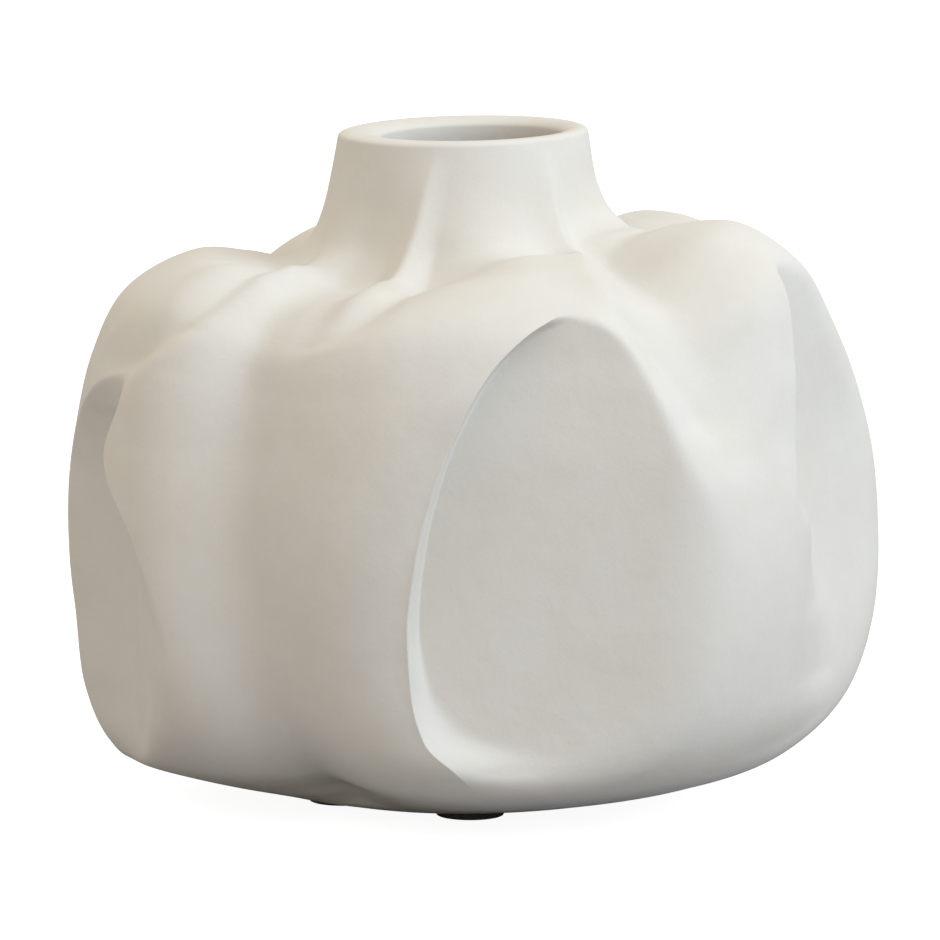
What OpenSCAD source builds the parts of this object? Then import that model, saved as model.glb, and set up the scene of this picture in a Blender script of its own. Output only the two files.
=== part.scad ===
// Lobed ceramic vase on four round foot pads.
// A belly with five flat dished faces. Each has a crisp rim on one side.
// Soft grooves run up between the lobes and fade out on a short round neck.
// Angles are measured round the neck axis from the front, and grow to the right.

/* [Body] */
// Height of the ceramic body from its foot to its lip
vase_h = 197; // [150:1:260]
// Reach of the belly from the neck axis
body_reach = 120; // [95:1:150]
// Distance of the flat faces from the neck axis
face_reach = 98; // [80:0.5:120]
// Depth of the deepest groove between two lobes
groove_depth = 20; // [10:0.5:24]
// Height that the tallest lobe gains over the shoulder
lobe_lift = 13; // [4:0.5:18]
// Most that the body swells out of round
swell_run = 12; // [4:0.5:16]
// Thickness of the ceramic wall
wall_t = 6; // [4:0.5:8]
// Thickness of the bottom
floor_t = 7; // [5:0.5:10]
// Radius of the flat foot
foot_r = 48; // [44:0.5:60]

/* [Rims] */
// Run of the step from a rim down to its face
step_run = 14; // [8:0.5:20]
// Run over which a face blends into the belly
blend_run = 9; // [5:0.5:14]
// Height of the raised folds on the neck
fold_height = 6; // [2:0.5:8]

/* [Neck] */
// Outer radius of the neck at the lip
neck_r = 37; // [30:0.5:45]
// Radius of the opening
bore_r = 27; // [20:0.5:32]
// Distance of the opening from the neck axis
bore_shift = 2.5; // [0:0.1:4]
// Height of the rounding on top of the lip
lip_round = 2; // [1:0.1:4]

/* [Foot pads] */
// Diameter of a pad
pad_d = 20; // [15:0.5:24]
// Thickness of a pad
pad_t = 3; // [2:0.1:5]
// Radius of the circle that the pad centres lie on
pad_circle_r = 31.5; // [26:0.5:34]
// Distance that the pads sit to the left of the neck axis
pad_offset_x = 5; // [0:0.5:8]
// Distance that the pads sit in front of the neck axis
pad_offset_y = 2; // [0:0.5:5]
// Turn of the front pad to the right
pad_turn = 13; // [0:1:30]

/* [Hidden] */
// Columns between one guide and the next, and rows on each part of the skin
guide_columns = [24, 20, 20, 20, 12, 16];
outer_rows = 42;
lip_rows = 4;
inner_rows = 12;
// Facets of the round pads
pad_fn = 72;

// Stations count from the foot edge at 0 to the lip at 16. Station lists hold pairs of a
// station and a value, joined by a smooth curve.

// Outline of a full lobe at stations 1 to 11: share of body_reach and share of vase_h
belly_shares = [
    [0.508, 0.013], [0.667, 0.036], [0.817, 0.074], [0.925, 0.157], [0.975, 0.290],
    [0.988, 0.431], [0.967, 0.553], [0.913, 0.665], [0.820, 0.761], [0.667, 0.815],
    [0.542, 0.815]];
// Outline of the neck at stations 12 to 16: share of neck_r and share of vase_h
neck_shares = [[1.460, 0.807], [1.243, 0.833], [1.125, 0.878], [1.054, 0.934], [1, 0.992]];
// Inside of the neck: radius as a share of bore_r, and where it takes over from the even wall
bore_shares = [[12, 1.5], [13, 1.25], [14, 1.12], [15, 1.05], [16, 1]];
bore_part_shares = [[12, 0], [13.5, 1], [16, 1]];
// Way inwards at each station, outwards and upwards being positive
inward_shares = [
    [-1, 0], [-1, 0.15], [-1, 0.2], [-1, 0.1], [-1, 0], [-1, 0], [-1, 0], [-1, -0.1],
    [-0.94, -0.32], [-0.7, -0.7], [-0.35, -0.94], [-0.15, -0.99], [-0.4, -0.9],
    [-0.9, -0.4], [-1, 0], [-1, 0], [-1, 0]];

// Rise of each lobe's top by angle, in shares of lobe_lift, and where up the body it acts
lift_shares = [[-180, 0.1], [-90, -0.1], [-70, -0.05], [-50, 0.45], [-36, 0], [-28, -0.3],
    [-10, 0], [8, 0.06], [30, 0.04], [58, 1.1], [80, 0.74], [105, 0.43], [130, 0.4], [155, 0.15]];
lift_reach_shares = [[6.5, 0], [8, 0.35], [9, 0.8], [10, 1], [12, 0.8], [13, 0.4], [14.5, 0]];
// Swell by angle, in shares of swell_run, at the foot of the belly, at the belly and at the
// shoulder, each with where up the body it acts
low_swell_shares = [[-180, 0], [-95, 1.1], [-60, 0], [-35, -0.9], [-8, -0.2], [20, 0],
    [60, 0], [90, -0.1], [130, 0]];
low_reach_shares = [[0.6, 0], [1.6, 0.7], [2.3, 1], [3, 0.62], [4, 0.2], [5, 0]];
mid_swell_shares = [[-180, 0], [-95, -0.12], [-45, 0.1], [-8, -0.1], [28, 0.35], [60, 0.15],
    [92, 0.52], [130, 0.25]];
mid_reach_shares = [[2, 0], [4, 0.7], [5, 1], [6.5, 1], [8, 0.6], [9.5, 0]];
top_swell_shares = [[-180, 0], [-95, 0.15], [-55, 0.35], [-10, 0.1], [14, 0.5], [32, 0.45],
    [60, 0.9], [85, 0.15], [120, 0]];
top_reach_shares = [[7, 0], [8, 0.5], [9, 1], [10, 0.8], [11, 0]];

// Grooves between the lobes: angle of the bottom by station, depth as a share of
// groove_depth, width to the left and to the right in degrees, rounding in degrees, and how
// steeply the sides fall near the bottom
groove_shares = [
    // left of the front lobe
    [[[0, -30], [4, -33], [5, -35], [6, -37], [7, -38], [8, -39], [9, -41], [10, -43],
        [11, -44], [12, -44], [14, -42], [16, -40]],
     [[0, 0], [1, 0.15], [2, 0.42], [3, 0.68], [4, 0.8], [8, 0.8], [9, 0.78], [10, 0.66],
        [11, 0.48], [12, 0.33], [13, 0.22], [14, 0.11], [16, 0]],
     [[0, 14], [6, 14], [9, 16], [11, 20], [14, 30]],
     [[0, 30], [6, 33], [8, 36], [9, 36], [10, 34], [12, 28]], 4, 2],
    // between the left lobe and the ridge beside the left face
    [[[7.8, -64], [8.4, -58], [8.8, -54.5], [9.3, -53], [9.8, -53.5], [10.5, -56], [11.3, -61],
        [12.5, -67]],
     [[7.6, 0], [8.3, 0.2], [8.8, 0.28], [9.6, 0.27], [10.5, 0.2], [11.5, 0.12], [12.5, 0.05],
        [13.5, 0]],
     [[8, 15], [12, 18]],
     [[8, 6], [12, 7]], 1.5, 1.6],
    // short crease over the front lobe
    [[[9, -25], [9.3, -21], [9.6, -17.5], [10, -15], [10.6, -13], [11.2, -12], [12.5, -11.5], [14, -10]],
     [[8.9, 0], [9.3, 0.1], [9.7, 0.2], [10.2, 0.26], [11, 0.26], [12, 0.16], [13, 0.08], [14, 0]],
     [[8, 7], [10, 9], [12, 11]],
     [[8, 22], [10, 28], [12, 34]], 2, 2.4],
    // right of the front lobe
    [[[6, 47], [7, 45], [8, 43], [9, 40.5], [10, 41], [11, 45], [12, 50], [14, 52]],
     [[5.8, 0], [7, 0.07], [8, 0.22], [9, 0.42], [10, 0.5], [11, 0.42], [12, 0.22], [13, 0.1], [14, 0.05],
        [16, 0]],
     [[6, 13], [9, 13], [11, 13]],
     [[6, 18], [9, 28], [16, 30]], 3, 1.35],
    // narrow bevel beside the front face
    [[[6.8, 41], [7.2, 39.8], [7.5, 38.4], [8, 36], [8.4, 34], [9, 30.5], [9.4, 29], [10, 29]],
     [[6.7, 0], [7.2, 0.1], [7.7, 0.28], [8.4, 0.32], [9, 0.22], [9.6, 0]],
     [[7, 7], [10, 7]],
     [[7, 8], [8, 16], [9, 20]], 1, 1.25],
    // behind the right lobe
    [[[0, 100], [16, 100]],
     [[5, 0], [6, 0.05], [7, 0.1], [8, 0.2], [9, 0.3], [10, 0.35], [11, 0.35], [12, 0.25],
        [13, 0.1], [16, 0]],
     [[0, 22], [16, 22]],
     [[0, 22], [16, 22]], 5, 2],
    // at the back
    [[[0, 160], [16, 160]],
     [[0, 0], [1, 0.2], [2, 0.45], [3, 0.7], [4, 0.8], [8, 0.8], [9, 0.9], [10, 1],
        [11, 0.75], [12, 0.3], [13, 0.15], [14, 0.08], [16, 0]],
     [[0, 22], [16, 22]],
     [[0, 30], [16, 30]], 5, 2],
    // behind the left lobe
    [[[0, -125], [16, -125]],
     [[0, 0], [1, 0.15], [2, 0.3], [3, 0.5], [4, 0.6], [7, 0.6], [8, 0.7], [9, 0.8],
        [10, 0.9], [11, 0.75], [12, 0.3], [13, 0.15], [14, 0.08], [16, 0]],
     [[0, 22], [16, 22]],
     [[0, 22], [16, 22]], 5, 2]];

// Raised folds on the neck: angle by station, height as a share of fold_height, width to the
// left and to the right in degrees, and rounding in degrees
fold_shares = [
    // left of the front lobe
    [[[8.4, -33], [8.8, -29], [9.2, -25.5], [9.8, -23.5], [11, -23], [12.6, -21], [13.8, -18.5],
        [14.7, -16.5], [16, -13]],
     [[8.5, 0], [9.1, 0.12], [9.6, 0.22], [10.2, 0.32], [11, 0.45], [12, 0.6], [13, 0.6], [14, 0.45],
        [15, 0.22], [16, 0]],
     14, 9, 1],
    // right of the front lobe
    [[[8, 32], [8.75, 29], [9.5, 27], [10, 29], [11, 33], [12, 38], [14, 40]],
     [[8, 0], [9, 0.15], [10, 0.4], [11, 0.6], [12, 0.72], [13, 0.62], [14, 0.45], [15, 0.22],
        [16, 0]],
     14, 8, 1],
    // broad swell where the front lobe runs into the neck
    [[[10, 20], [12, 17], [13, 12], [15, 10]],
     [[9.9, 0], [10.5, 0.5], [11.1, 1], [12, 1.05], [13, 0.6], [14, 0.2], [15, 0]],
     19, 18, 13],
    // broad swell at the right of the neck's foot
    [[[11, 88], [15, 88]],
     [[11.4, 0], [12.4, 0.5], [13.3, 0.6], [14.2, 0.25], [15, 0]],
     32, 32, 14]];

// Flat faces: angle of the rim by station, angle of the far side by station, way the face
// looks, distance as a share of face_reach, step as a share of step_run, sharpness of the
// step by station, roundness of the rim, blend at the rim as a share of blend_run, and blend
// at the far side by station
face_shares = [
    // front
    [[[1, 0], [2.8, 14], [3.2, 6], [3.5, -1], [4, -6], [4.6, -8], [5.2, -8.4], [5.9, -7.2],
        [6.8, -4.5], [7.6, -0.8], [8.3, 3.6], [8.9, 10], [9.25, 16], [9.5, 21], [9.75, 27], [10.3, 22],
        [12, 10], [16, 0]],
     [[0, 75], [16, 75]], -2,
     [[2, 1.02], [3, 1], [4, 0.99], [7, 1], [8, 0.985], [8.6, 0.97], [9.2, 0.965]],
     [[2, 2], [2.8, 1.6], [3.2, 1.2], [3.6, 0.6], [4.1, 0.28], [5, 0.14], [6, 0.13], [7, 0.15],
        [8, 0.28], [9, 0.4]],
     [[0, 2.5], [16, 2.5]], 1, 0.28, [[6, 1], [7.3, 0.22], [9.3, 0.2]]],
    // left
    [[[1, -84], [3, -87], [4, -89], [6, -89], [6.9, -88], [7.35, -84], [7.65, -77], [7.85, -70],
        [8.1, -62], [9, -68], [12, -84], [16, -86]],
     [[2.2, -50], [3, -44], [4.2, -46], [5, -51], [6, -58], [7, -63], [7.6, -61],
        [8.2, -60]], -83,
     [[2, 0.99], [7, 1.02], [8, 1.03]],
     [[3, 1.85], [7, 1.85], [8, 1.3]], [[0, 1.5], [16, 1.5]], 1,
     0.17, [[0, 0.55], [16, 0.55]]],
    // right
    [[[1, 26], [3.4, 30], [4.4, 38.5], [5.2, 46], [6.2, 52], [7, 55.5], [8, 57.5], [9, 59],
        [10, 61], [16, 66]],
     [[0, 132], [16, 132]], 57,
     [[2, 1.14], [4, 1.1], [5, 1.065], [6, 1.035], [7, 1.02], [8, 1.04], [9, 1.06]],
     [[3, 3.2], [4, 3], [5, 2.2], [6, 0.9], [7, 0.45], [9, 0.36]], [[4, 1.1], [6, 2.2]], 1.5,
     0.17, [[0, 0.67], [16, 0.67]]],
    // right back
    [[[1, 127], [3, 121.5], [4, 119.5], [5, 119.5], [6, 120.5], [7, 122.5], [8, 126],
        [9, 131], [12, 134], [16, 134]],
     [[0, 197], [16, 197]], 122,
     [[2, 0.98], [4, 1], [9, 1]],
     [[2, 1.6], [4, 1.2], [6, 0.6], [9, 0.5]], [[0, 2.5], [16, 2.5]], 1.5,
     0.17, [[0, 0.9], [16, 0.9]]],
    // left back
    [[[1, -165], [3, -169.5], [4, -171], [5, -171], [6, -169.5], [7, -167], [8, -163.5],
        [9, -158], [12, -156], [16, -158]],
     [[0, -90], [16, -90]], -165,
     [[2, 0.98], [4, 1], [9, 1]],
     [[2, 1.6], [4, 1.2], [6, 0.6], [9, 0.5]], [[0, 2.5], [16, 2.5]], 1.5,
     0.17, [[0, 0.9], [16, 0.9]]]];

// Slope of the lip, lower on the left, and where up the neck it starts
tilt_share = 0.02;
tilt_reach_shares = [[12, 0], [15, 0.3], [16, 1]];
// Where up the inside the opening moves off the neck axis
bore_reach_shares = [[12, 0], [14, 1], [16, 1]];

// Share of the rows against station: closest where the rims cross the shoulder
row_stations = [[0, 0], [0.14, 3], [0.3, 5], [0.52, 8], [0.74, 9.4], [0.9, 13], [1, 16]];
// Lines that the columns follow up the body, by station: near the rims, but less slanted
guide_shares = [
    [[0, 4], [3, 2], [4, -6], [5.2, -8.4], [6, -7], [6.8, -4.5], [7.6, -0.8], [8.3, 3.4], [8.9, 8],
        [9.5, 11], [10.5, 11], [12, 7], [16, 0]],
    [[0, 49], [3, 44], [4, 43], [5, 46], [6.2, 52], [7, 55.5], [9, 59], [16, 66]],
    [[0, 127], [3, 121.5], [4, 119.5], [5, 119.5], [6, 120.5], [7, 122.5], [8, 126], [10, 131],
        [16, 134]],
    [[0, -165], [3, -169.5], [4, -171], [5, -171], [6, -169.5], [7, -167], [8, -163.5],
        [10, -158.5], [16, -158]],
    [[0, -86], [4, -89], [6, -89], [7.5, -86], [8.5, -82], [10, -82], [16, -86]],
    [[0, -50], [3, -44.5], [4.2, -46], [5, -51], [6, -58], [7, -62.5], [8, -60.5], [10, -56],
        [16, -48]]];
// Share of the columns between two guides against share of angle: closest at the guides
column_shares = [[0, 0], [0.05, 0.034], [0.15, 0.118], [0.25, 0.22], [0.75, 0.78], [0.9, 0.922],
    [1, 1]];
outline = concat([[foot_r, 0]], [for (p = belly_shares) [p[0] * body_reach, p[1] * vase_h]],
    [for (p = neck_shares) [p[0] * neck_r, p[1] * vase_h]]);
stations = len(outline) - 1;
wall_by_station = [[0, floor_t], [1, floor_t], [3, wall_t], [16, wall_t]];
guides = len(guide_shares);
// For every column: the guide before it and its share of the way to the next one
column_places = [for (k = [0:guides - 1], i = [0:guide_columns[k] - 1])
    [k, lookup(i / guide_columns[k], column_shares)]];
columns = len(column_places);
station_nudge = 0.05;
// Run over which a face ends at a far side that has its own edge
rim_run = 0.6 * step_run;
face_half_angle = 75;
// Angle over which the inside passes from one face to the next
inner_turn = 14;
clay_colour = [0.93, 0.915, 0.885];
pad_colour = [0.27, 0.27, 0.26];
pad_count = 4;

// Smooth curve through pairs of a place and a value, level beyond its ends
function span_at(k, x, i = 0) = i >= len(k) - 2 || x < k[i + 1][0] ? i : span_at(k, x, i + 1);
function climb(k, i) = (k[i + 1][1] - k[i][1]) / (k[i + 1][0] - k[i][0]);
function lean(k, i) = i <= 0 || i >= len(k) - 1 ? 0 :
    let (a = climb(k, i - 1), b = climb(k, i)) a * b <= 0 ? 0 : 2 * a * b / (a + b);
function at(k, place) =
    let (x = min(max(place, k[0][0]), k[len(k) - 1][0]),
        i = span_at(k, x),
        w = k[i + 1][0] - k[i][0],
        t = (x - k[i][0]) / w)
    k[i][1] * (1 + 2 * t) * pow(1 - t, 2) + k[i + 1][1] * t * t * (3 - 2 * t)
        + w * t * (1 - t) * (lean(k, i) * (1 - t) - lean(k, i + 1) * t);
// The same curve carried right round the axis
function ring(k) =
    let (n = len(k))
    concat([for (i = [n - 2, n - 1]) k[i] - [360, 0]], k, [for (i = [0, 1]) k[i] + [360, 0]]);
// Smooth path through points at whole stations
function along(p, station) =
    let (n = len(p) - 1,
        s = min(max(station, 0), n),
        i = min(floor(s), n - 1),
        t = s - i,
        a = p[max(i - 1, 0)], b = p[i], c = p[i + 1], d = p[min(i + 2, n)])
    (2 * b + (c - a) * t + (2 * a - 5 * b + 4 * c - d) * t * t
        + (3 * b - a - 3 * c + d) * t * t * t) / 2;
// Angle brought to the half turn on either side of the front
function turned(a) = ((a + 180) % 360 + 360) % 360 - 180;
function soft(t) = let (u = min(max(t, 0), 1)) u * u * (3 - 2 * u);
// Part of a gap above zero, rounded over the given run
function above(gap, run) = gap < -run ? 0 : gap > run ? gap : pow(gap + run, 2) / (4 * run);

lift_ring = ring(lift_shares);
low_ring = ring(low_swell_shares);
mid_ring = ring(mid_swell_shares);
top_ring = ring(top_swell_shares);

// Length round the axis for one degree at a station, measured square to a slanting rim
function rim_scale(k, s, reach, run) =
    let (degree = reach * PI / 180,
        slant = (at(k, s + station_nudge) - at(k, s - station_nudge)) / (2 * station_nudge)
            * degree / run)
    degree / sqrt(1 + slant * slant);

// What one station has in common right round the body
function row_facts(s) =
    let (o = along(outline, s),
        step = along(outline, s + station_nudge) - along(outline, s - station_nudge),
        run = norm(step) / (2 * station_nudge),
        reach = o[0],
        inside = o + [-step[1], step[0]] / norm(step) * at(wall_by_station, s),
        bore = [at(bore_shares, s) * bore_r, inside[1]])
    [o, inside + (bore - inside) * at(bore_part_shares, s), along(inward_shares, s),
        [at(lift_reach_shares, s) * lobe_lift, at(low_reach_shares, s) * swell_run,
            at(mid_reach_shares, s) * swell_run, at(top_reach_shares, s) * swell_run],
        [for (g = groove_shares)
            [at(g[0], s), at(g[1], s) * groove_depth, at(g[2], s), at(g[3], s), g[4], g[5]]],
        [for (f = fold_shares) [at(f[0], s), at(f[1], s) * fold_height, f[2], f[3], f[4]]],
        [for (q = face_shares)
            [at(q[0], s), rim_scale(q[0], s, reach, run), at(q[1], s),
                rim_scale(q[1], s, reach, run), q[2], at(q[3], s) * face_reach,
                at(q[4], s) * step_run, at(q[5], s), q[7] * blend_run, at(q[8], s) * blend_run,
                q[6]]],
        at(tilt_reach_shares, s) * tilt_share, at(bore_reach_shares, s) * bore_shift];

function sum(v, i = 0) = i >= len(v) ? 0 : v[i] + sum(v, i + 1);
function groove_at(g, a) =
    let (d = turned(a - g[0]), w = d < 0 ? g[2] : g[3], t = (sqrt(d * d + g[4] * g[4]) - g[4]) / w)
    g[1] * pow(max(1 - t, 0), g[5]);
function fold_at(f, a) =
    let (d = turned(a - f[0]), w = d < 0 ? f[2] : f[3], t = (sqrt(d * d + f[4] * f[4]) - f[4]) / w)
    f[1] * pow(max(1 - t, 0), 2);
// Reach left after the faces are cut one after the other
function cut_faces(faces, a, reach, i = 0) =
    i >= len(faces) ? reach :
    let (q = faces[i], rel = turned(a - q[4]))
    abs(rel) >= face_half_angle ? cut_faces(faces, a, reach, i + 1) :
    let (t = min(max(turned(a - q[0]) * q[1] / q[6], 0), 1),
        part = (1 - pow(1 - pow(t, q[10]), q[7])) * soft(-turned(a - q[2]) * q[3] / rim_run),
        blend = q[8] + (q[9] - q[8]) * min(max((rel + 5) / 35, 0), 1))
    cut_faces(faces, a, reach - part * above(reach - q[5] / cos(rel), blend), i + 1);
function cut_inside(faces, a, reach, i = 0) =
    i >= len(faces) ? reach :
    let (q = faces[i], rel = turned(a - q[4]))
    abs(rel) >= face_half_angle ? cut_inside(faces, a, reach, i + 1) :
    let (part = soft(turned(a - q[0]) / inner_turn + 1) * soft(1 - turned(a - q[2]) / inner_turn))
    cut_inside(faces, a, reach - part * above(reach - (q[5] - wall_t) / cos(rel), blend_run), i + 1);

function lift_at(f, a) = at(lift_ring, a) * f[3][0];
function swell_at(f, a) = at(low_ring, a) * f[3][1] + at(mid_ring, a) * f[3][2] + at(top_ring, a) * f[3][3];
function place(reach, height, a, tilt, shift) =
    let (x = reach * sin(a)) [x + shift, -reach * cos(a), height + tilt * x];

function outer_point(f, a) =
    let (h = sum([for (g = f[4]) groove_at(g, a)]) - sum([for (d = f[5]) fold_at(d, a)]),
        reach = f[0][0] + swell_at(f, a) + h * f[2][0],
        height = f[0][1] + lift_at(f, a) + h * f[2][1] + pad_t)
    place(cut_faces(f[6], a, reach), height, a, f[7], 0);
function inner_point(f, a) =
    let (h = sum([for (g = f[4]) groove_at(g, a)]),
        reach = f[1][0] + swell_at(f, a) + h * f[2][0],
        height = f[1][1] + lift_at(f, a) + h * f[2][1] + pad_t)
    place(cut_inside(f[6], a, reach), height, a, f[7], f[8]);

// Angle of a column at a station
function column_angle(i, s) =
    let (p = column_places[i % columns],
        a = at(guide_shares[p[0]], s),
        gap = (at(guide_shares[(p[0] + 1) % guides], s) - a + 720) % 360)
    turned(a + gap * p[1]);
function skin_row(s, inside) =
    let (f = row_facts(s))
    [for (i = [0:columns - 1]) let (a = column_angle(i, s)) inside ? inner_point(f, a) : outer_point(f, a)];

// Skin in the middle of each cell between two stations
function middle_row(s) =
    let (f = row_facts(s))
    [for (i = [0:columns - 1])
        let (a = column_angle(i, s)) outer_point(f, a + turned(column_angle(i + 1, s) - a) / 2)];

row_at = [for (j = [0:outer_rows - 1]) lookup(j / (outer_rows - 1), row_stations)];
outer_skin = [for (s = row_at) skin_row(s, false)];
cell_middles = [for (j = [0:outer_rows - 2]) middle_row((row_at[j] + row_at[j + 1]) / 2)];
inner_skin = [for (j = [0:inner_rows - 1]) skin_row((1 - j / (inner_rows - 1)) * stations, true)];
lip_skin = [for (j = [1:lip_rows])
    let (t = 180 * j / (lip_rows + 1), o = outer_skin[outer_rows - 1], n = inner_skin[0])
    [for (i = [0:columns - 1])
        (o[i] + n[i]) / 2 + (o[i] - n[i]) / 2 * cos(t) + [0, 0, lip_round * sin(t)]]];
skin = concat(outer_skin, lip_skin, inner_skin);
rows = len(skin);
foot_pole = [0, 0, pad_t];
bottom_pole = [0, 0, inner_skin[inner_rows - 1][0][2]];

// The body stands with the middle of its outline over the origin
all_x = [for (r = outer_skin, p = r) p[0]];
all_y = [for (r = outer_skin, p = r) p[1]];
middle = [(min(all_x) + max(all_x)) / 2, (min(all_y) + max(all_y)) / 2, 0];

// Which way a cell is creased: the way that passes closer to the skin at its middle
function leans_left(j, i, n) = j < outer_rows - 1
    && norm((skin[j][n] + skin[j + 1][i]) / 2 - cell_middles[j][i])
        < norm((skin[j][i] + skin[j + 1][n]) / 2 - cell_middles[j][i]);

// Ceramic body: one skin that runs up the outside, over the lip and down the inside
module vase() {
    points = concat([for (r = skin, p = r) p], [foot_pole, bottom_pole]);
    last = rows * columns;
    sides = [for (j = [0:rows - 2], i = [0:columns - 1])
        let (n = (i + 1) % columns, a = j * columns + i, b = j * columns + n)
        each leans_left(j, i, n) ? [[a, a + columns, b], [b, a + columns, b + columns]]
            : [[a, a + columns, b + columns], [a, b + columns, b]]];
    foot = [for (i = [0:columns - 1]) [last, i, (i + 1) % columns]];
    bottom = [for (i = [0:columns - 1])
        [last + 1, (rows - 1) * columns + (i + 1) % columns, (rows - 1) * columns + i]];
    color(clay_colour)
        translate(-middle)
            polyhedron(points = points, faces = concat(sides, foot, bottom), convexity = 12);
}

// Round pad stuck under the foot
module pad(i) {
    a = pad_turn + i * 360 / pad_count;
    color(pad_colour)
        translate([pad_circle_r * sin(a) - pad_offset_x, -pad_circle_r * cos(a) - pad_offset_y, 0] - middle)
            cylinder(d = pad_d, h = pad_t, $fn = pad_fn);
}
module pad_front() pad(0);
module pad_right() pad(1);
module pad_back() pad(2);
module pad_left() pad(3);

vase();
pad_front();
pad_right();
pad_back();
pad_left();
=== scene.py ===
"""Lobed ceramic vase on four round foot pads.

The clay skin is worked out from the same named sizes and shares as the solid, with many more
points: an outline turned round the neck axis, swelled by angle, pressed in along grooves,
raised along folds and cut by five flat faces. Some forms are the scene's own: the front, left
and right faces have a few other shares than in the solid, and a soft shoulder lies beside the
rim of the front face.

Angles are in degrees, measured round the neck axis from the front, and grow to the right.
The skin is worked out in mm, and everything in Blender is in metres.
"""

import math
from collections import namedtuple

import bmesh
import bpy
import numpy as np
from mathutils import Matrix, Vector

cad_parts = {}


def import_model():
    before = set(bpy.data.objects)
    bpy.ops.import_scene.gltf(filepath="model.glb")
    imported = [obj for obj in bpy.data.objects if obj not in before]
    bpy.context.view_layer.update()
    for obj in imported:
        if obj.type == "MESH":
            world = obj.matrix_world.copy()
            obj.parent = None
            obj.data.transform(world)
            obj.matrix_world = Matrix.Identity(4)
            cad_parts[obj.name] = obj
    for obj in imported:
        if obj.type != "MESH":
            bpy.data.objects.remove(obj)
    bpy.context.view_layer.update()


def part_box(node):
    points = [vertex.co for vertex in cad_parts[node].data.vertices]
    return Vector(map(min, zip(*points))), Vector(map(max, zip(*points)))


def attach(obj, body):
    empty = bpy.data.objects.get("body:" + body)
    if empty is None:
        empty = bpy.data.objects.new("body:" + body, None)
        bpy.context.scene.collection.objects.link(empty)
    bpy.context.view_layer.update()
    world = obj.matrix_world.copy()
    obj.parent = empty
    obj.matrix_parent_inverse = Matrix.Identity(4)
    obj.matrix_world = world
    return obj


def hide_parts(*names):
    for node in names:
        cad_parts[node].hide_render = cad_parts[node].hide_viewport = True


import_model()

MM = 0.001
PAD_NODES = ("pad_front", "pad_right", "pad_back", "pad_left")

# Named sizes, in mm

# Height of the ceramic body from its foot to its lip
vase_h = 197
# Reach of the belly, and distance of the flat faces, from the neck axis
body_reach = 120
face_reach = 98
# Depth of the deepest groove between two lobes
groove_depth = 20
# Height that the tallest lobe gains over the shoulder
lobe_lift = 13
# Most that the body swells out of round
swell_run = 12
# Thickness of the wall and of the bottom
wall_t = 6
floor_t = 7
# Radius of the flat foot
foot_r = 48
# Run of the step from a rim down to its face, and run over which a face blends into the belly
step_run = 14
blend_run = 9
# Height of the raised folds on the neck
fold_height = 6
# Outer radius of the neck at the lip, radius of the opening, and the opening's distance from
# the neck axis
neck_r = 37
bore_r = 27
bore_shift = 2.5
# Height of the rounding on top of the lip
lip_round = 2
# Thickness of a pad, and how far the pads sit to the left and in front of the neck axis
pad_t = 3
pad_offset_x = 5
pad_offset_y = 2

# Shares by station or angle

# Stations count from the foot edge at 0 to the lip at 16. Station lists hold pairs of a
# station and a value, joined by a smooth curve. A plain number is the same at all stations.

# Outline of a full lobe at stations 1 to 11: share of body_reach and share of vase_h
belly_shares = [
    [0.508, 0.013], [0.667, 0.036], [0.817, 0.074], [0.925, 0.157], [0.975, 0.290],
    [0.988, 0.431], [0.967, 0.553], [0.913, 0.665], [0.820, 0.761], [0.667, 0.815],
    [0.542, 0.815]]
# Outline of the neck at stations 12 to 16: share of neck_r and share of vase_h
neck_shares = [[1.460, 0.807], [1.243, 0.833], [1.125, 0.878], [1.054, 0.934], [1, 0.992]]
# Inside of the neck: radius as a share of bore_r, and where it takes over from the even wall
bore_shares = [[12, 1.5], [13, 1.25], [14, 1.12], [15, 1.05], [16, 1]]
bore_part_shares = [[12, 0], [13.5, 1], [16, 1]]
# Way inwards at each station, outwards and upwards being positive
inward_shares = [
    [-1, 0], [-1, 0.15], [-1, 0.2], [-1, 0.1], [-1, 0], [-1, 0], [-1, 0], [-1, -0.1],
    [-0.94, -0.32], [-0.7, -0.7], [-0.35, -0.94], [-0.15, -0.99], [-0.4, -0.9],
    [-0.9, -0.4], [-1, 0], [-1, 0], [-1, 0]]

# Rise of each lobe's top by angle, in shares of lobe_lift, and where up the body it acts
lift_shares = [
    [-180, 0.1], [-90, -0.1], [-70, -0.05], [-50, 0.45], [-36, 0], [-28, -0.3], [-10, 0],
    [8, 0.06], [30, 0.04], [58, 1.1], [80, 0.74], [105, 0.43], [130, 0.4], [155, 0.15]]
lift_reach_shares = [[6.5, 0], [8, 0.35], [9, 0.8], [10, 1], [12, 0.8], [13, 0.4], [14.5, 0]]
# Swell by angle, in shares of swell_run, at the foot of the belly, at the belly and at the
# shoulder, each with where up the body it acts
low_swell_shares = [
    [-180, 0], [-95, 1.1], [-60, 0], [-35, -0.9], [-8, -0.2], [20, 0], [60, 0], [90, -0.1],
    [130, 0]]
low_reach_shares = [[0.6, 0], [1.6, 0.7], [2.3, 1], [3, 0.62], [4, 0.2], [5, 0]]
mid_swell_shares = [
    [-180, 0], [-95, -0.12], [-45, 0.1], [-8, -0.1], [28, 0.35], [60, 0.15], [92, 0.52],
    [130, 0.25]]
mid_reach_shares = [[2, 0], [4, 0.7], [5, 1], [6.5, 1], [8, 0.6], [9.5, 0]]
top_swell_shares = [
    [-180, 0], [-95, 0.15], [-55, 0.35], [-10, 0.1], [14, 0.5], [32, 0.45], [60, 0.9],
    [85, 0.15], [120, 0]]
top_reach_shares = [[7, 0], [8, 0.5], [9, 1], [10, 0.8], [11, 0]]

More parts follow.
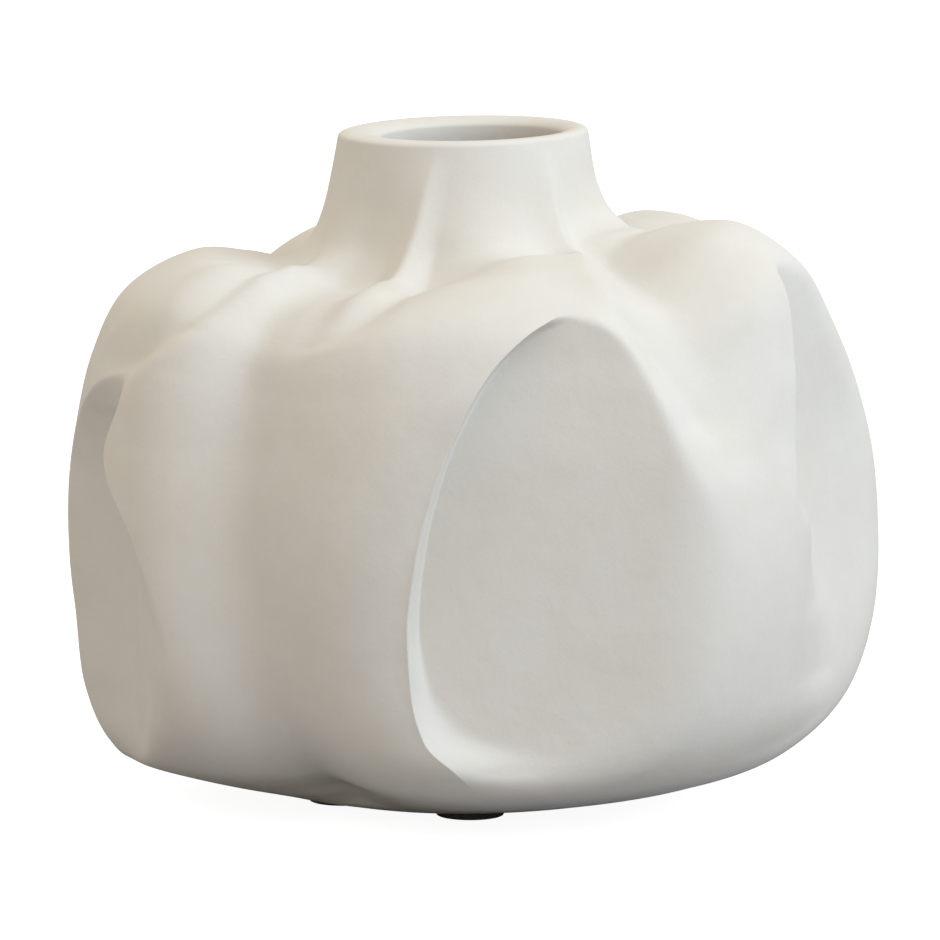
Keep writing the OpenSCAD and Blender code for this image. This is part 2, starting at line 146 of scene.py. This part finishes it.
# A groove or a fold: the angle of its middle line, its share of groove_depth or of
# fold_height, its width to the left and to the right in degrees, its rounding in degrees, and
# how steeply its sides run near the middle line. All but the last two may go by station.
Crease = namedtuple("Crease", "path share left right rounding power")

# Grooves between the lobes
groove_shares = [
    # left of the front lobe
    Crease(
        path=[[0, -30], [4, -33], [5, -35], [6, -37], [7, -38], [8, -39], [9, -41], [10, -43],
              [11, -44], [12, -44], [14, -42], [16, -40]],
        share=[[0, 0], [1, 0.15], [2, 0.42], [3, 0.68], [4, 0.8], [8, 0.8], [9, 0.78],
               [10, 0.66], [11, 0.48], [12, 0.33], [13, 0.22], [14, 0.11], [16, 0]],
        left=[[0, 14], [6, 14], [9, 16], [11, 20], [14, 30]],
        right=[[0, 30], [6, 33], [8, 36], [9, 36], [10, 34], [12, 28]],
        rounding=4, power=2),
    # between the left lobe and the ridge beside the left face
    Crease(
        path=[[7.8, -64], [8.4, -58], [8.8, -54.5], [9.3, -53], [9.8, -53.5], [10.5, -56],
              [11.3, -61], [12.5, -67]],
        share=[[7.6, 0], [8.3, 0.2], [8.8, 0.28], [9.6, 0.27], [10.5, 0.2], [11.5, 0.12],
               [12.5, 0.05], [13.5, 0]],
        left=[[8, 15], [12, 18]],
        right=[[8, 6], [12, 7]],
        rounding=1.5, power=1.6),
    # short crease over the front lobe
    Crease(
        path=[[9, -25], [9.3, -21], [9.6, -17.5], [10, -15], [10.6, -13], [11.2, -12],
              [12.5, -11.5], [14, -10]],
        share=[[8.9, 0], [9.3, 0.1], [9.7, 0.2], [10.2, 0.26], [11, 0.26], [12, 0.16],
               [13, 0.08], [14, 0]],
        left=[[8, 7], [10, 9], [12, 11]],
        right=[[8, 22], [10, 28], [12, 34]],
        rounding=2, power=2.4),
    # soft shoulder beside the rim of the front face
    Crease(
        path=[[3.5, -1], [4, -6], [4.6, -8], [5.2, -8.4], [5.9, -7.2], [6.8, -4.5],
              [7.6, -0.8], [8.3, 3.6]],
        share=[[3.4, 0], [4.2, 0.16], [5, 0.26], [6.2, 0.24], [7.2, 0.12], [8.2, 0]],
        left=[[4, 15], [8, 12]],
        right=[[4, 14], [8, 12]],
        rounding=1.5, power=1.6),
    # right of the front lobe
    Crease(
        path=[[6, 47], [7, 45], [8, 43], [9, 40.5], [10, 41], [11, 45], [12, 50], [14, 52]],
        share=[[5.8, 0], [7, 0.07], [8, 0.22], [9, 0.42], [10, 0.5], [11, 0.42], [12, 0.22],
               [13, 0.1], [14, 0.05], [16, 0]],
        left=13,
        right=[[6, 18], [9, 28], [16, 30]],
        rounding=3, power=1.35),
    # narrow bevel beside the front face
    Crease(
        path=[[6.8, 41], [7.2, 39.8], [7.5, 38.4], [8, 36], [8.4, 34], [9, 30.5], [9.4, 29],
              [10, 29]],
        share=[[6.7, 0], [7.2, 0.1], [7.7, 0.28], [8.4, 0.32], [9, 0.22], [9.6, 0]],
        left=7,
        right=[[7, 8], [8, 16], [9, 20]],
        rounding=1, power=1.25),
    # behind the right lobe
    Crease(
        path=100,
        share=[[5, 0], [6, 0.05], [7, 0.1], [8, 0.2], [9, 0.3], [10, 0.35], [11, 0.35],
               [12, 0.25], [13, 0.1], [16, 0]],
        left=22, right=22, rounding=5, power=2),
    # at the back
    Crease(
        path=160,
        share=[[0, 0], [1, 0.2], [2, 0.45], [3, 0.7], [4, 0.8], [8, 0.8], [9, 0.9], [10, 1],
               [11, 0.75], [12, 0.3], [13, 0.15], [14, 0.08], [16, 0]],
        left=22, right=30, rounding=5, power=2),
    # behind the left lobe
    Crease(
        path=-125,
        share=[[0, 0], [1, 0.15], [2, 0.3], [3, 0.5], [4, 0.6], [7, 0.6], [8, 0.7], [9, 0.8],
               [10, 0.9], [11, 0.75], [12, 0.3], [13, 0.15], [14, 0.08], [16, 0]],
        left=22, right=22, rounding=5, power=2)]

# Raised folds on the neck
fold_shares = [
    # left of the front lobe
    Crease(
        path=[[8.4, -33], [8.8, -29], [9.2, -25.5], [9.8, -23.5], [11, -23], [12.6, -21],
              [13.8, -18.5], [14.7, -16.5], [16, -13]],
        share=[[8.5, 0], [9.1, 0.12], [9.6, 0.22], [10.2, 0.32], [11, 0.45], [12, 0.6],
               [13, 0.6], [14, 0.45], [15, 0.22], [16, 0]],
        left=14, right=9, rounding=1, power=2),
    # right of the front lobe
    Crease(
        path=[[8, 32], [8.75, 29], [9.5, 27], [10, 29], [11, 33], [12, 38], [14, 40]],
        share=[[8, 0], [9, 0.15], [10, 0.4], [11, 0.6], [12, 0.72], [13, 0.62], [14, 0.45],
               [15, 0.22], [16, 0]],
        left=14, right=8, rounding=1, power=2),
    # broad swell where the front lobe runs into the neck
    Crease(
        path=[[10, 20], [12, 17], [13, 12], [15, 10]],
        share=[[9.9, 0], [10.5, 0.5], [11.1, 1], [12, 1.05], [13, 0.6], [14, 0.2], [15, 0]],
        left=19, right=18, rounding=13, power=2),
    # broad swell at the right of the neck's foot
    Crease(
        path=88,
        share=[[11.4, 0], [12.4, 0.5], [13.3, 0.6], [14.2, 0.25], [15, 0]],
        left=32, right=32, rounding=14, power=2)]

# A flat face: angles of its rim and of its far side, way that it looks, distance as a share
# of face_reach, step as a share of step_run, sharpness of the step, roundness of the rim, and
# blends at the rim and at the far side as shares of blend_run. All but the way that it looks
# may go by station.
Face = namedtuple(
    "Face", "rim far_side looks distance step sharpness roundness rim_blend far_blend")

front_face_shares = Face(
    rim=[[1, 0], [2.4, 4], [3, 2.4], [3.5, -1], [4, -6], [4.6, -8], [5.2, -8.4], [5.9, -7.2],
         [6.8, -4.5], [7.6, -0.8], [8.3, 3.6], [8.9, 10], [9.25, 16], [9.5, 21], [9.75, 27],
         [10.3, 22], [12, 10], [16, 0]],
    far_side=75,
    looks=-2,
    distance=[[2, 1.02], [3, 1], [4, 0.99], [7, 1], [8, 0.985], [8.6, 0.97], [9.2, 0.965]],
    step=[[2, 9], [2.8, 7.5], [3.2, 5.5], [3.6, 3.4], [4.1, 1.4], [4.6, 0.5], [5.2, 0.18],
          [6, 0.1], [7, 0.1], [8, 0.22], [9, 0.36]],
    sharpness=[[3, 5.5], [4.6, 4.5], [6, 2.5]],
    roundness=1,
    rim_blend=0.28,
    far_blend=[[6, 1], [7.3, 0.22], [9.3, 0.2]])
left_face_shares = Face(
    rim=[[1, -84], [3, -87], [4, -89], [5.6, -89], [6.4, -88], [6.9, -85.5], [7.3, -81.5],
         [7.6, -76], [7.85, -70], [8.1, -62], [9, -68], [12, -84], [16, -86]],
    far_side=[[2.2, -47], [3, -41], [4.2, -42], [5, -46.5], [6, -53.5], [7, -64], [7.6, -61],
              [8.2, -60]],
    looks=-83,
    distance=[[2, 0.99], [7, 1.02], [8, 1.03]],
    step=[[3, 2.9], [7, 2.9], [8, 2.1]],
    sharpness=2.5,
    roundness=1,
    rim_blend=0.17,
    far_blend=0.55)
right_face_shares = Face(
    rim=[[1, 26], [3.4, 28], [4.4, 35.5], [5.2, 43], [5.8, 48], [6.4, 52.5], [7, 55.5],
         [8, 57.5], [9, 59], [10, 61], [16, 66]],
    far_side=132,
    looks=57,
    distance=[[2, 1.14], [4, 1.1], [5, 1.065], [6, 1.035], [7, 1.02], [8, 1.04], [9, 1.06]],
    step=[[4, 5], [5, 4.4], [6, 3], [6.6, 1.4], [7.2, 0.5], [9, 0.36]],
    sharpness=[[4, 1.2], [6, 2.2]],
    roundness=[[5.8, 3], [6.6, 2.2], [7.4, 1.5]],
    rim_blend=[[4.6, 2.4], [5.6, 1.4], [6.6, 0.17]],
    far_blend=0.67)
# What both faces at the back have alike
back_shares = dict(
    distance=[[2, 0.98], [4, 1], [9, 1]],
    step=[[2, 1.6], [4, 1.2], [6, 0.6], [9, 0.5]],
    sharpness=2.5,
    roundness=1.5,
    rim_blend=0.17,
    far_blend=0.9)
right_back_face_shares = Face(
    rim=[[1, 127], [3, 121.5], [4, 119.5], [5, 119.5], [6, 120.5], [7, 122.5], [8, 126],
         [9, 131], [12, 134], [16, 134]],
    far_side=197,
    looks=122,
    **back_shares)
left_back_face_shares = Face(
    rim=[[1, -165], [3, -169.5], [4, -171], [5, -171], [6, -169.5], [7, -167], [8, -163.5],
         [9, -158], [12, -156], [16, -158]],
    far_side=-90,
    looks=-165,
    **back_shares)
face_shares = [front_face_shares, left_face_shares, right_face_shares,
               right_back_face_shares, left_back_face_shares]

# Slope of the lip, lower on the left, and where up the neck it starts
tilt_share = 0.02
tilt_reach_shares = [[12, 0], [15, 0.3], [16, 1]]
# Where up the inside the opening moves off the neck axis
bore_reach_shares = [[12, 0], [14, 1], [16, 1]]


# Curves through the shares

def at(pairs, place):
    """Smooth curve through pairs of a place and a value, level beyond its ends.

    A plain number stands for a curve that is level all the way.
    """
    if np.isscalar(pairs):
        return pairs
    k = np.array(pairs, float)
    x, v = k[:, 0], k[:, 1]
    place = np.clip(place, x[0], x[-1])
    i = np.clip(np.searchsorted(x, place, side="right") - 1, 0, len(x) - 2)
    climb = np.diff(v) / np.diff(x)
    lean = np.zeros(len(x))
    for j in range(1, len(x) - 1):
        before, after = climb[j - 1], climb[j]
        if before * after > 0:
            lean[j] = 2 * before * after / (before + after)
    width = x[i + 1] - x[i]
    t = (place - x[i]) / width
    return (v[i] * (1 + 2 * t) * (1 - t) ** 2 + v[i + 1] * t * t * (3 - 2 * t)
            + width * t * (1 - t) * (lean[i] * (1 - t) - lean[i + 1] * t))


def ring(pairs):
    """Pairs by angle, carried a little way round at both ends so that the curve closes."""
    before = [[x - 360, v] for x, v in pairs[-2:]]
    after = [[x + 360, v] for x, v in pairs[:2]]
    return before + pairs + after


def along(points, station):
    """Smooth path through points at whole stations."""
    points = np.array(points, float)
    last = len(points) - 1
    s = np.clip(station, 0, last)
    i = np.minimum(np.floor(s).astype(int), last - 1)
    t = (s - i)[..., None]
    a, b = points[np.maximum(i - 1, 0)], points[i]
    c, d = points[i + 1], points[np.minimum(i + 2, last)]
    return (2 * b + (c - a) * t + (2 * a - 5 * b + 4 * c - d) * t ** 2
            + (3 * b - a - 3 * c + d) * t ** 3) / 2


def turned(angle):
    """Angle brought to the half turn on either side of the front."""
    return (angle + 180) % 360 - 180


def soft(t):
    """Smooth step from 0 to 1."""
    t = np.clip(t, 0, 1)
    return t * t * (3 - 2 * t)


def above(gap, run):
    """Part of a gap above zero, rounded over the given run."""
    return np.where(gap < -run, 0, np.where(gap > run, gap, (gap + run) ** 2 / (4 * run)))


# The skin

# Half the span of stations over which a slope is measured
NUDGE = 0.05
# Run over which a face fades out at its far side, in mm
far_run_share = 0.6
FAR_RUN = far_run_share * step_run
# Angle from the way that a face looks, from which on its plane cuts nothing
FACE_HALF_ANGLE = 75
# Where the blend at the rim begins to give way to the one at the far side, as an angle from
# the way that the face looks, and over what turn
BLEND_CHANGE_FROM, BLEND_CHANGE_TURN = -5, 35
# Turn over which a face fades out on the inside, beyond its rim and its far side
INNER_TURN = 14
# Points of the outline, one a station, in mm from the neck axis and from the foot
outline = np.array([[foot_r, 0]]
                   + [[x * body_reach, z * vase_h] for x, z in belly_shares]
                   + [[x * neck_r, z * vase_h] for x, z in neck_shares])
STATIONS = len(outline) - 1
wall_by_station = [[0, floor_t], [1, floor_t], [3, wall_t], [STATIONS, wall_t]]


def outline_step(s):
    """Way that the outline goes at a station."""
    return along(outline, s + NUDGE) - along(outline, s - NUDGE)


def swell(angle, s):
    """How far the body swells out of round, in mm."""
    return swell_run * (at(ring(low_swell_shares), angle) * at(low_reach_shares, s)
                        + at(ring(mid_swell_shares), angle) * at(mid_reach_shares, s)
                        + at(ring(top_swell_shares), angle) * at(top_reach_shares, s))


def crease_height(crease, full, angle, s):
    """How far a groove or a fold departs from the even skin, full standing for a share of 1."""
    off = turned(angle - at(crease.path, s))
    width = np.where(off < 0, at(crease.left, s), at(crease.right, s))
    t = (np.sqrt(off * off + crease.rounding ** 2) - crease.rounding) / width
    return full * at(crease.share, s) * np.clip(1 - t, 0, 1) ** crease.power


def pressed(angle, s, with_folds):
    """How far the grooves press the skin in, less what the folds raise it."""
    depth = 0
    for groove in groove_shares:
        depth = depth + crease_height(groove, groove_depth, angle, s)
    if with_folds:
        for fold in fold_shares:
            depth = depth - crease_height(fold, fold_height, angle, s)
    return depth


def face_plane(face, angle, s, behind):
    """Angle from the way that a face looks, whether its plane cuts nothing there, and reach."""
    rel = turned(angle - face.looks)
    far = np.abs(rel) >= FACE_HALF_ANGLE
    away = at(face.distance, s) * face_reach - behind
    return rel, far, away / np.cos(np.radians(np.where(far, 0, rel)))


def cut_outside(angle, s, reach, base):
    """Reach of the outer skin once the faces cut it, with a step at each rim."""
    # Length of a degree round the body and of a station up it, in mm
    degree = base * math.pi / 180
    run = np.linalg.norm(outline_step(s), axis=-1) / (2 * NUDGE)

    def across(path, sign):
        """Distance from a path that runs up the body, in mm, square to the path."""
        slant = (at(path, s + NUDGE) - at(path, s - NUDGE)) / (2 * NUDGE) * degree / run
        return sign * turned(angle - at(path, s)) * degree / np.sqrt(1 + slant ** 2)

    for face in face_shares:
        rel, far, plane = face_plane(face, angle, s, 0)
        t = np.clip(across(face.rim, 1) / (step_run * at(face.step, s)), 0, 1)
        step = 1 - (1 - t ** at(face.roundness, s)) ** at(face.sharpness, s)
        part = step * soft(across(face.far_side, -1) / FAR_RUN)
        rim_blend, far_blend = at(face.rim_blend, s), at(face.far_blend, s)
        change = np.clip((rel - BLEND_CHANGE_FROM) / BLEND_CHANGE_TURN, 0, 1)
        blend = blend_run * (rim_blend + (far_blend - rim_blend) * change)
        reach = reach - np.where(far, 0, part * above(reach - plane, blend))
    return reach


def cut_inside(angle, s, reach):
    """Reach of the inner skin once the faces cut it, one wall behind the outer one."""
    for face in face_shares:
        _, far, plane = face_plane(face, angle, s, wall_t)
        part = (soft(turned(angle - at(face.rim, s)) / INNER_TURN + 1)
                * soft(1 - turned(angle - at(face.far_side, s)) / INNER_TURN))
        reach = reach - np.where(far, 0, part * above(reach - plane, blend_run))
    return reach


def skin(angle, s, inside):
    """Points of the outer or inner skin, in mm from the neck axis and the table."""
    base = along(outline, s)
    reach, height, shift = base[..., 0], base[..., 1], 0
    if inside:
        step = outline_step(s)
        step = step / np.linalg.norm(step, axis=-1, keepdims=True)
        wall = at(wall_by_station, s)
        reach, height = reach - step[..., 1] * wall, height + step[..., 0] * wall
        part = at(bore_part_shares, s)
        reach = reach + (at(bore_shares, s) * bore_r - reach) * part
        shift = at(bore_reach_shares, s) * bore_shift
    inward = along(inward_shares, s)
    depth = pressed(angle, s, not inside)
    reach = reach + swell(angle, s) + depth * inward[..., 0]
    height = (height + lobe_lift * at(ring(lift_shares), angle) * at(lift_reach_shares, s)
              + depth * inward[..., 1] + pad_t)
    if inside:
        reach = cut_inside(angle, s, reach)
    else:
        reach = cut_outside(angle, s, reach, base[..., 0])
    a = np.radians(angle)
    x, y = reach * np.sin(a), -reach * np.cos(a)
    return np.stack([x + shift, y, height + at(tilt_reach_shares, s) * tilt_share * x], -1)


# The net of the clay piece

# The rim of the left face, with a rounder top for the columns to follow
left_rim_line = [[1, -84], [3, -87], [4, -89], [6, -88.5], [7, -85], [7.5, -81], [8, -77],
                 [9, -77], [12, -84], [16, -86]]
# Lines that the columns follow, round the body to the right, and the columns from each line
# to the next
LINES = [front_face_shares.rim, right_face_shares.rim, right_back_face_shares.rim,
         left_back_face_shares.rim, left_rim_line, left_face_shares.far_side]
LINE_COLUMNS = [130, 90, 80, 80, 44, 76]
# How much closer the columns stand beside a line, from 0 for evenly to 1
CROWDING = 0.72
# Share of the outer rows against station, closest where the rims cross the shoulder
row_stations = [[0, 0], [0.07, 2], [0.2, 4], [0.48, 7.6], [0.78, 9.6], [0.9, 12.6], [1, 16]]
OUTER_ROWS, INNER_ROWS, LIP_ROWS, DISC_ROWS = 250, 46, 12, 8
UP, FLAT = np.array([0, 0, 1]), np.array([1, 1, 0])


def column_angles(s):
    """Angles of all the columns at each station, crowded beside the lines."""
    columns = []
    for k, count in enumerate(LINE_COLUMNS):
        a = at(LINES[k], s)
        gap = (at(LINES[(k + 1) % len(LINES)], s) - a) % 360
        t = np.arange(count)[:, None] / count
        share = t - CROWDING * np.sin(2 * math.pi * t) / (2 * math.pi)
        columns.append(a + gap * share)
    return turned(np.concatenate(columns, 0))


def disc(edge, shares):
    """Rings of a level disc, at shares of the way from its middle to its edge."""
    return edge * UP + edge * FLAT * shares[:, None]


def net_rows():
    """Rows of points from the foot up, over the lip and down the inside, in mm."""
    s = at(row_stations, np.linspace(0, 1, OUTER_ROWS))
    outer = skin(column_angles(s), s, False)
    s = np.linspace(STATIONS, 0, INNER_ROWS)
    inner = skin(column_angles(s), s, True)
    brim, mouth = outer[:, -1], inner[:, 0]
    t = math.pi * np.arange(1, LIP_ROWS + 1)[None, :, None] / (LIP_ROWS + 1)
    lip = (brim + mouth)[:, None] / 2 + (brim - mouth)[:, None] / 2 * np.cos(t)
    lip[..., 2] += lip_round * np.sin(t[..., 0])
    shares = np.linspace(0, 1, DISC_ROWS + 1)[1:-1]
    foot = disc(outer[:, :1], shares)
    bottom = disc(inner[:, -1:], shares[::-1])
    rows = np.concatenate([foot, outer, lip, inner, bottom], 1)
    return rows.transpose(1, 0, 2)


# The pieces

def box_middle(node):
    """Middle of a node's box."""
    low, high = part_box(node)
    return (Vector(low) + Vector(high)) / 2


def neck_place():
    """Where the neck axis meets the table, beside the middle of the ring of pads."""
    middle = sum((box_middle(node) for node in PAD_NODES), Vector()) / len(PAD_NODES)
    return Vector((middle.x + pad_offset_x * MM, middle.y + pad_offset_y * MM, 0))


def new_object(name, data):
    """A new object in the scene."""
    thing = bpy.data.objects.new(name, data)
    bpy.context.scene.collection.objects.link(thing)
    return thing


def smooth_object(name, mesh):
    """A new object in the scene, with a smoothly shaded mesh."""
    mesh.polygons.foreach_set("use_smooth", [True] * len(mesh.polygons))
    mesh.update()
    return new_object(name, mesh)


def build_clay(neck):
    """The ceramic body as one closed net of quads, with a fan at the middle of each disc."""
    rows = net_rows()
    count, columns = rows.shape[:2]
    neck = neck / MM
    points = rows.reshape(-1, 3) + np.array(neck)
    poles = np.array([[neck.x, neck.y, rows[0, 0, 2]], [neck.x, neck.y, rows[-1, 0, 2]]])
    verts = np.concatenate([points, poles]) * MM
    j, i = np.meshgrid(np.arange(count - 1), np.arange(columns), indexing="ij")
    a, b = j * columns + i, j * columns + (i + 1) % columns
    quads = np.stack([a, b, b + columns, a + columns], -1).reshape(-1, 4)
    faces = quads.tolist()
    foot_pole, top = count * columns, (count - 1) * columns
    for k in range(columns):
        n = (k + 1) % columns
        faces.append([foot_pole, n, k])
        faces.append([foot_pole + 1, top + k, top + n])
    mesh = bpy.data.meshes.new("clay_body")
    mesh.from_pydata(verts.tolist(), [], faces)
    return smooth_object("clay_body", mesh)


# Size of the rounding on a pad's edges
PAD_EDGE = 0.5 * MM
# Rounding of the lower edge and of the upper one: way in from the side, and up from the
# underside or down from the top, in shares of PAD_EDGE
pad_low_shares = [[2, 0], [1, 0.1], [0.3, 0.4], [0, 1.2]]
pad_top_shares = [[0, 1], [0.3, 0.3], [1, 0]]
# Innermost ring of a pad's flat sides, as a share of its radius
pad_inner_share = 0.5
PAD_SIDES = 96


def build_pad(node):
    """A round pad with softly rounded edges, where the solid pad is."""
    low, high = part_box(node)
    middle = box_middle(node)
    radius, height = (high[0] - low[0]) / 2, high[2] - low[2]
    profile = [(radius * pad_inner_share, 0)]
    profile += [(radius - x * PAD_EDGE, z * PAD_EDGE) for x, z in pad_low_shares]
    profile += [(radius, height / 2)]
    profile += [(radius - x * PAD_EDGE, height - z * PAD_EDGE) for x, z in pad_top_shares]
    profile += [(radius * pad_inner_share, height)]
    turns = [2 * math.pi * k / PAD_SIDES for k in range(PAD_SIDES)]
    bm = bmesh.new()
    rings = [[bm.verts.new((middle.x + r * math.cos(a), middle.y + r * math.sin(a), low[2] + z))
              for a in turns] for r, z in profile]
    for inner, outer in zip(rings, rings[1:]):
        for k in range(PAD_SIDES):
            n = (k + 1) % PAD_SIDES
            bm.faces.new((inner[k], inner[n], outer[n], outer[k]))
    bm.faces.new(rings[0][::-1])
    bm.faces.new(rings[-1])
    bmesh.ops.recalc_face_normals(bm, faces=bm.faces)
    mesh = bpy.data.meshes.new("foam_" + node)
    bm.to_mesh(mesh)
    bm.free()
    return smooth_object("foam_" + node, mesh)


# Materials

CLAY_WARM = (0.680, 0.648, 0.582, 1)
CLAY_COOL = (0.700, 0.677, 0.626, 1)
CLAY_PALE = (0.730, 0.708, 0.658, 1)
CLAY_SPECK = (0.635, 0.600, 0.530, 1)
PAD_DARK = (0.050, 0.050, 0.048, 1)
PAD_PALE = (0.085, 0.085, 0.080, 1)
WHITE = (1, 1, 1, 1)


class Nodes:
    """Short calls for building one material."""

    def __init__(self, name):
        self.material = bpy.data.materials.new(name)
        self.material.use_nodes = True
        self.tree = self.material.node_tree
        self.shader = self.tree.nodes["Principled BSDF"]

    def add(self, kind, **sockets):
        """A new node, with the named sockets set."""
        node = self.tree.nodes.new(kind)
        for name, value in sockets.items():
            self.set(node, name, value)
        return node

    def set(self, node, name, value):
        """Link a socket, or give it a number or a colour."""
        socket = node.inputs[name]
        if isinstance(value, bpy.types.NodeSocket):
            self.tree.links.new(value, socket)
        else:
            socket.default_value = value

    def noise(self, scale, detail, roughness):
        """Noise through the piece, with about as many blotches in a metre as the scale says."""
        node = self.add("ShaderNodeTexNoise", Scale=scale, Detail=detail, Roughness=roughness)
        self.set(node, "Vector", self.add("ShaderNodeTexCoord").outputs["Object"])
        return node.outputs["Fac"]

    def spread(self, value, low, high, to_low=0.0, to_high=1.0):
        """Value between low and high, stretched to the new limits."""
        node = self.add("ShaderNodeMapRange")
        for name, number in (("Value", value), ("From Min", low), ("From Max", high),
                             ("To Min", to_low), ("To Max", to_high)):
            self.set(node, name, number)
        return node.outputs["Result"]

    def mix(self, factor, first, second):
        """Blend of two colours. The colour sockets share their names, so these go by number."""
        node = self.add("ShaderNodeMix")
        node.data_type = "RGBA"
        for index, value in ((0, factor), (6, first), (7, second)):
            self.set(node, index, value)
        return node.outputs[2]

    def bump(self, height, distance, strength, under=None):
        """Bumps by a value from 0 to 1, as high as distance, over the bumps under them."""
        node = self.add("ShaderNodeBump", Distance=distance, Strength=strength)
        self.set(node, "Height", height)
        if under:
            self.set(node, "Normal", under)
        return node.outputs["Normal"]


def clay_material():
    """Matte clay: faint clouds, pale patches, fine specks, and a surface worked by hand."""
    m = Nodes("clay_unglazed")
    clouds = m.noise(scale=24, detail=3, roughness=0.55)
    patches = m.noise(scale=75, detail=3, roughness=0.6)
    grain = m.noise(scale=900, detail=2, roughness=0.6)
    colour = m.mix(m.spread(clouds, 0.35, 0.65), CLAY_WARM, CLAY_COOL)
    colour = m.mix(m.spread(patches, 0.4, 0.7, to_high=0.35), colour, CLAY_PALE)
    colour = m.mix(m.spread(grain, 0.55, 0.8, to_high=0.25), colour, CLAY_SPECK)
    m.set(m.shader, "Base Color", colour)
    m.set(m.shader, "Roughness", m.spread(patches, 0.3, 0.7, to_low=0.78, to_high=0.92))
    m.set(m.shader, "Specular IOR Level", 0.3)
    hand = m.bump(m.noise(scale=55, detail=2, roughness=0.5), distance=0.7 * MM, strength=0.5)
    worked = m.bump(m.noise(scale=190, detail=3, roughness=0.6),
                    distance=0.16 * MM, strength=0.8, under=hand)
    m.set(m.shader, "Normal", m.bump(grain, distance=0.04 * MM, strength=0.8, under=worked))
    return m.material


def foam_material():
    """Dark foam with fine cells."""
    m = Nodes("foam_dark")
    cells = m.noise(scale=1600, detail=2, roughness=0.6)
    m.set(m.shader, "Base Color", m.mix(m.spread(cells, 0.35, 0.7), PAD_DARK, PAD_PALE))
    m.set(m.shader, "Roughness", m.spread(cells, 0.3, 0.7, to_low=0.86, to_high=0.97))
    m.set(m.shader, "Specular IOR Level", 0.25)
    m.set(m.shader, "Normal", m.bump(cells, distance=0.06 * MM, strength=0.8))
    return m.material


# The vase

neck = neck_place()
clay = build_clay(neck)
clay.data.materials.append(clay_material())
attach(clay, "root")
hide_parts("vase")
foam = foam_material()
for node in PAD_NODES:
    pad = build_pad(node)
    pad.data.materials.append(foam)
    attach(pad, "root")
    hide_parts(node)


# Floor, light and camera, in metres

# Half the side of the floor, its colour under light, and the glow that the camera sees in it
FLOOR_REACH = 4
FLOOR_COLOUR = (0.38, 0.38, 0.39, 1)
FLOOR_SEEN = 0.93
# Colour and level of the light from all round
WORLD_COLOUR = (1, 0.92, 0.82, 1)
WORLD_LEVEL = 0.86
# Name, place, diameter, power in watts and colour of each lamp, and what they all point at
LAMPS = [
    ("key_right", (2.0, -1.2, 1.6), 2.0, 52, (0.64, 0.80, 1)),
    ("top_soft", (-0.2, -0.2, 2.2), 1.6, 3, (0.9, 1, 0.95))]
LAMP_AIM = Vector((0, 0, 0.11))
# The camera: distance in front of the neck axis, height, and how far it sees
CAMERA_DISTANCE = 3
CAMERA_HEIGHT = 0.542
CAMERA_FAR = 50
# Degrees that it looks down, its lens and sensor in mm, and its shift as a share of the sensor
CAMERA_DOWN = 8.42
CAMERA_LENS = 391.4
CAMERA_SENSOR = 36
camera_shift_share = 0.0074


def floor_material():
    """A matte surface that shows the camera an even pale colour, and keeps its shadows."""
    m = Nodes("floor_pale")
    m.set(m.shader, "Base Color", FLOOR_COLOUR)
    m.set(m.shader, "Roughness", 1)
    m.set(m.shader, "Specular IOR Level", 0)
    m.set(m.shader, "Emission Color", WHITE)
    glow = m.add("ShaderNodeMath")
    glow.operation = "MULTIPLY"
    m.set(glow, 0, m.add("ShaderNodeLightPath").outputs["Is Camera Ray"])
    m.set(glow, 1, FLOOR_SEEN)
    m.set(m.shader, "Emission Strength", glow.outputs[0])
    return m.material


def floor():
    """The floor, which isn't part of the vase."""
    bm = bmesh.new()
    bmesh.ops.create_grid(bm, x_segments=4, y_segments=4, size=FLOOR_REACH)
    mesh = bpy.data.meshes.new("floor")
    bm.to_mesh(mesh)
    bm.free()
    piece = new_object("floor", mesh)
    piece.data.materials.append(floor_material())


def lamp(name, place, diameter, power, colour):
    """A round lamp that points at the vase."""
    light = bpy.data.lights.new(name, "AREA")
    light.shape = "DISK"
    light.size = diameter
    light.energy = power
    light.color = colour
    thing = new_object(name, light)
    thing.location = place
    thing.rotation_euler = (LAMP_AIM - Vector(place)).to_track_quat("-Z", "Y").to_euler()


def world():
    """Even light from all round, which the camera sees as white."""
    sky = bpy.data.worlds.new("studio")
    sky.use_nodes = True
    tree = sky.node_tree
    light = tree.nodes["Background"]
    light.inputs["Color"].default_value = WORLD_COLOUR
    light.inputs["Strength"].default_value = WORLD_LEVEL
    seen = tree.nodes.new("ShaderNodeBackground")
    seen.inputs["Color"].default_value = WHITE
    seen.inputs["Strength"].default_value = 1
    path = tree.nodes.new("ShaderNodeLightPath")
    mix = tree.nodes.new("ShaderNodeMixShader")
    tree.links.new(path.outputs["Is Camera Ray"], mix.inputs[0])
    tree.links.new(light.outputs[0], mix.inputs[1])
    tree.links.new(seen.outputs[0], mix.inputs[2])
    tree.links.new(mix.outputs[0], tree.nodes["World Output"].inputs["Surface"])
    bpy.context.scene.world = sky


def photo_camera():
    """The camera, straight in front of the neck, at the photograph's viewing angle."""
    camera = bpy.data.cameras.new("photo_view")
    camera.sensor_width = CAMERA_SENSOR
    camera.lens = CAMERA_LENS
    camera.shift_x = camera_shift_share
    camera.clip_end = CAMERA_FAR
    view = new_object("photo_view", camera)
    view.location = (neck.x, neck.y - CAMERA_DISTANCE, CAMERA_HEIGHT)
    view.rotation_euler = (math.radians(90 - CAMERA_DOWN), 0, 0)
    bpy.context.scene.camera = view


floor()
world()
for values in LAMPS:
    lamp(*values)
photo_camera()
bpy.context.scene.view_settings.view_transform = "Standard"
